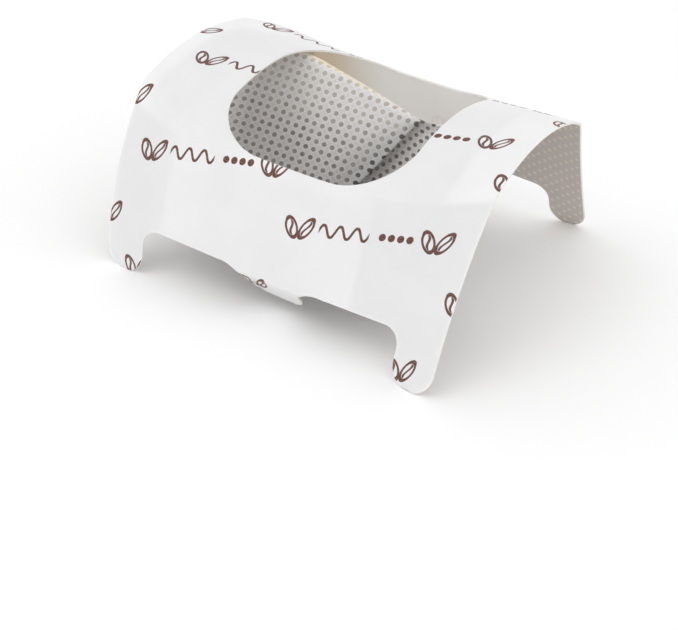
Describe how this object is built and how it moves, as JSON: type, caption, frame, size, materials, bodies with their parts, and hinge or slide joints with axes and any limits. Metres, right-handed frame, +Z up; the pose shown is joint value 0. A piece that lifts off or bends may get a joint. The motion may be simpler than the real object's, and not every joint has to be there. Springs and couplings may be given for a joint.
{
  "type": "drip coffee bag",
  "caption": "Opened single-serve drip coffee bag: a white printed card folded over a cup's rim, with ears, tabs and a pouring hole, holding a dotted filter pouch.",
  "frame": {"origin": "middle of the bag's box on the floor that the four ear tips stand on", "axes": "+X along the creases, -Y towards the front flange, +Z up"},
  "size_m": [0.0933, 0.0861, 0.044],
  "materials": {
    "card_paper": "matt coated white paper card with sparse brown print",
    "filter_cloth": "thin grey-white nonwoven filter cloth with a square lattice of darker dots",
    "lap_cloth": "nonwoven filter cloth glued on the card's inner side, seen as a grey-taupe lining"
  },
  "bodies": {
    "root": {"card": "card_paper", "filter_pouch": "filter_cloth", "filter_lap_front_left": "lap_cloth", "filter_lap_front_right": "lap_cloth", "filter_lap_back_left": "lap_cloth", "filter_lap_back_right": "lap_cloth"}
  },
  "joints": []
}
